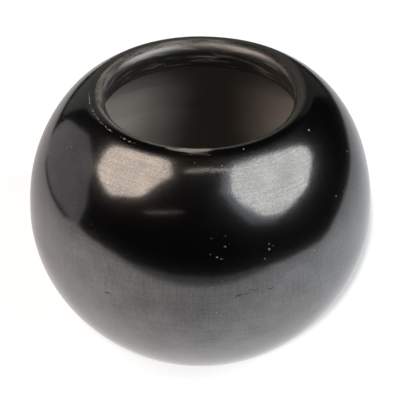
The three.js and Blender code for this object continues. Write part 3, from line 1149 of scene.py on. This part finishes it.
# Painted pools of lamp light on it: a centre, a width and a strength, which is below 0 where the table is
# painted dimmer
POOLS = [
    ((-105 * MM, -55 * MM, 0), 70 * MM, 0.7),
    ((95 * MM, -45 * MM, 0), 75 * MM, 0.64),
    ((100 * MM, 110 * MM, 0), 90 * MM, 0.25),
    ((0, -42 * MM, 0), 28 * MM, 0.34),
    ((-10 * MM, -80 * MM, 0), 26 * MM, -0.3),
]

# What is left of a pool's strength at its width
POOL_EDGE = math.exp(-0.5)

# The painted hem of the bowl's shadow: an oval, how far across it the hem fades, and on which side it shows
HEM_SIZE = Vector((56, 85.2)) * MM
HEM_BACK = 62.4 * MM
HEM_FADE = {"From Min": 0.962, "From Max": 1.036, "To Min": 0.78, "To Max": 0.0}
HEM_WAY = (0.7, -0.7, 0)
HEM_SIDE = {"From Min": -0.1, "From Max": 0.6}


def table_light(tree, place):
    """How brightly mirrors see the table: painted pools of light, painted shade near the bowl, dark in front.
    """
    lit = TABLE_LEVEL
    for centre, width, strength in POOLS:
        off = add(tree, "ShaderNodeVectorMath", {0: place, 1: centre}, operation="DISTANCE")
        off = add(tree, "ShaderNodeMath", {0: off.outputs["Value"], 1: width}, operation="DIVIDE")
        fall = add(tree, "ShaderNodeMath", {0: off, 1: 2.0}, operation="POWER")
        pool = add(tree, "ShaderNodeMath", {0: POOL_EDGE, 1: fall}, operation="POWER")
        lit = add(tree, "ShaderNodeMath", {0: pool, 1: strength, 2: lit}, operation="MULTIPLY_ADD")
    front = add(tree, "ShaderNodeSeparateXYZ", {0: place}).outputs["Y"]
    front = add(tree, "ShaderNodeMapRange", {
        "Value": front, "From Min": TABLE_FRONT, "From Max": TABLE_FRONT + TABLE_FADE,
    }, interpolation_type="SMOOTHSTEP")
    lit = add(tree, "ShaderNodeMath", {0: lit, 1: front}, operation="MULTIPLY")
    off = add(tree, "ShaderNodeVectorMath", {0: place}, operation="LENGTH")
    clear = add(tree, "ShaderNodeMapRange", {
        "Value": off.outputs["Value"], "From Max": SHADE_REACH, "To Min": TABLE_SHADE,
    }, interpolation_type="SMOOTHSTEP")
    return add(tree, "ShaderNodeMath", {0: lit, 1: clear}, operation="MULTIPLY")


def shadow_hem(tree, place):
    """A painted shadow of the bowl, soft at its hem to the right and in front."""
    off = add(tree, "ShaderNodeVectorMath", {
        0: place, 1: (1 / HEM_SIZE.x, 1 / HEM_SIZE.y, 0), 2: (0, -HEM_BACK / HEM_SIZE.y, 0),
    }, operation="MULTIPLY_ADD")
    hem = add(tree, "ShaderNodeVectorMath", {0: off}, operation="LENGTH")
    hem = add(tree, "ShaderNodeMapRange", {
        "Value": hem.outputs["Value"], **HEM_FADE,
    }, interpolation_type="SMOOTHSTEP")
    side = add(tree, "ShaderNodeVectorMath", {0: off, 1: HEM_WAY}, operation="DOT_PRODUCT")
    side = add(tree, "ShaderNodeMapRange", {
        "Value": side.outputs["Value"], **HEM_SIDE,
    }, interpolation_type="SMOOTHSTEP")
    return add(tree, "ShaderNodeMath", {0: hem, 1: side}, operation="MULTIPLY")


def pale_table(studio):
    """A pale table top that glows a little, so that it is white and still takes the bowl's shadow from the
    lamps, with a painted hem that only the camera sees.
    """
    material, tree, surface = new_material("pale_table")
    place = add(tree, "ShaderNodeTexCoord").outputs["Object"]
    path = add(tree, "ShaderNodeLightPath").outputs
    lit = table_light(tree, place)
    hem = shadow_hem(tree, place)
    clear = add(tree, "ShaderNodeMath", {0: 1.0, 1: hem}, operation="SUBTRACT")
    seen = add(tree, "ShaderNodeMath", {0: path["Is Camera Ray"], 1: clear}, operation="MULTIPLY")
    mirror = add(tree, "ShaderNodeMath", {
        0: path["Is Glossy Ray"], 1: path["Is Transmission Ray"],
    }, operation="ADD")
    glow = add(tree, "ShaderNodeMath", {0: mirror, 1: lit, 2: seen}, operation="MULTIPLY_ADD")
    glow = add(tree, "ShaderNodeMath", {0: glow, 1: studio.glow}, operation="MULTIPLY")
    left = add(tree, "ShaderNodeSeparateXYZ", {0: place}).outputs["X"]
    left = add(tree, "ShaderNodeMapRange", {"Value": left, "From Min": WARM_RIGHT, "From Max": WARM_LEFT})
    tint = add(tree, "ShaderNodeMix", {0: left, 6: (*COOL, 1), 7: (*WARM, 1)}, data_type="RGBA").outputs[2]
    tint = add(tree, "ShaderNodeMix", {0: mirror, 6: (1, 1, 1, 1), 7: tint}, data_type="RGBA").outputs[2]
    white = add(tree, "ShaderNodeEmission", {"Color": tint, "Strength": glow})
    plain = [part * studio.shade for part in studio.paper]
    shade = add(tree, "ShaderNodeBsdfDiffuse", {"Color": (*plain, 1)})
    both = add(tree, "ShaderNodeAddShader", {0: shade, 1: white})
    tree.links.new(both.outputs[0], surface)
    return material


# The outline, in millimetres, of the part of the table that mirrors see among the black cloth
TABLE_EDGE = [
    (-100, -176), (0, -181), (100, -173), (165, -105), (185, -50), (250, -5), (330, 90), (370, 220),
    (380, 330), (310, 410), (210, 385), (130, 345), (30, 250), (-60, 330), (-135, 340), (-260, 400),
    (-300, 260), (-232, 150), (-232, 0), (-290, -55), (-267, -59), (-218, -113), (-160, -150),
]
CLOTH_RISE = 1 * MM
CLOTH_SPREAD = 8
CLOTH_RADIANCE = (0.0016, 0.00176, 0.002)


def black_cloth():
    """Black cloth in a dim room, which gives next to nothing back."""
    return glowing("black_cloth", CLOTH_RADIANCE)


def black_room(context):
    """A room of black cloth round the table's lit part, which only mirrors see."""
    edge = [(x * MM, y * MM, CLOTH_RISE) for x, y in TABLE_EDGE]
    outer = [(x * CLOTH_SPREAD, y * CLOTH_SPREAD, z) for x, y, z in edge]
    top = [(x, y, TABLE_REACH) for x, y, z in outer]
    n = len(edge)
    around = [(i, (i + 1) % n) for i in range(n)]
    faces = [(i, j, n + j, n + i) for i, j in around]
    faces += [(n + i, n + j, 2 * n + j, 2 * n + i) for i, j in around]
    faces += [tuple(range(2 * n, 3 * n))]
    mirror_only(stage_mesh(context, "black_cloth", edge + outer + top, faces, black_cloth()))


def white_room(scene):
    """A world that the camera and mirrors see white, and that lights nothing."""
    world = bpy.data.worlds.new("white_room")
    world.use_nodes = True
    tree = world.node_tree
    path = add(tree, "ShaderNodeLightPath").outputs
    seen = path["Is Camera Ray"]
    for ray in ("Is Glossy Ray", "Is Transmission Ray"):
        seen = add(tree, "ShaderNodeMath", {0: seen, 1: path[ray]}, operation="ADD").outputs[0]
    background = tree.nodes["Background"]
    background.inputs["Color"].default_value = (1, 1, 1, 1)
    tree.links.new(seen, background.inputs["Strength"])
    scene.world = world


def front_camera(scene, centre):
    """The camera in front of the bowl and above it."""
    studio = scene.bowl_studio
    camera = bpy.data.objects.new("camera", bpy.data.cameras.new("camera"))
    camera.data.lens = studio.focal_length
    scene.collection.objects.link(camera)
    way = towards(0, studio.elevation)
    up = towards(math.pi, math.pi / 2 - studio.elevation)
    aim = centre + up * studio.aim_rise - Vector((studio.aim_left, 0, 0))
    camera.location = aim + way * studio.distance
    camera.rotation_euler = way.to_track_quat("Z", "Y").to_euler()
    scene.camera = camera


class BOWL_OT_stage(bpy.types.Operator):
    """Builds the pale table, the soft lights, the surround and the camera"""

    bl_idname = "bowl.stage"
    bl_label = "Stage"

    def execute(self, context):
        scene = context.scene
        centre = Vector((0, 0, scene.bowl_sizes.belly_height))
        reach = TABLE_REACH
        corners = [(-reach, -reach, 0), (reach, -reach, 0), (reach, reach, 0), (-reach, reach, 0)]
        stage_mesh(context, "table", corners, [(0, 1, 2, 3)], pale_table(scene.bowl_studio))
        black_room(context)
        for given in BOARDS:
            bright_board(context, given, centre)
        for given in KEY_LIGHTS:
            key_light(context, given, centre)
        white_room(scene)
        front_camera(scene, centre)
        scene.view_settings.view_transform = "Standard"
        return {"FINISHED"}


OPERATORS = (
    BOWL_OT_pressed_base,
    BOWL_OT_wall_coils,
    BOWL_OT_shoulder_coils,
    BOWL_OT_lip_coil,
    BOWL_OT_slip_coat,
    BOWL_OT_stage,
)


class BOWL_PT_maker(bpy.types.Panel):
    """Lists the bowl's pieces, its stage and what a user may change"""

    bl_idname = "BOWL_PT_maker"
    bl_label = "Seed Bowl"
    bl_space_type = "VIEW_3D"
    bl_region_type = "UI"
    bl_category = "Seed Bowl"

    def draw(self, context):
        for operator in OPERATORS:
            self.layout.operator(operator.bl_idname)
        for name, group in GROUPS.items():
            box = self.layout.box()
            for prop in group.__annotations__:
                box.prop(getattr(context.scene, name), prop)


GROUPS = {
    "bowl_sizes": BowlSizes,
    "bowl_hand": HandWork,
    "bowl_finishes": Finishes,
    "bowl_studio": Studio,
}
CLASSES = (*GROUPS.values(), *OPERATORS, BOWL_PT_maker)


def register():
    for cls in CLASSES:
        bpy.utils.register_class(cls)
    for name, group in GROUPS.items():
        setattr(bpy.types.Scene, name, PointerProperty(type=group))


def unregister():
    for name in GROUPS:
        delattr(bpy.types.Scene, name)
    for cls in reversed(CLASSES):
        bpy.utils.unregister_class(cls)


def main():
    register()
    bpy.ops.bowl.pressed_base()
    bpy.ops.bowl.wall_coils()
    bpy.ops.bowl.shoulder_coils()
    bpy.ops.bowl.lip_coil()
    bpy.ops.bowl.slip_coat()
    bpy.ops.bowl.stage()


if __name__ == "__main__":
    main()
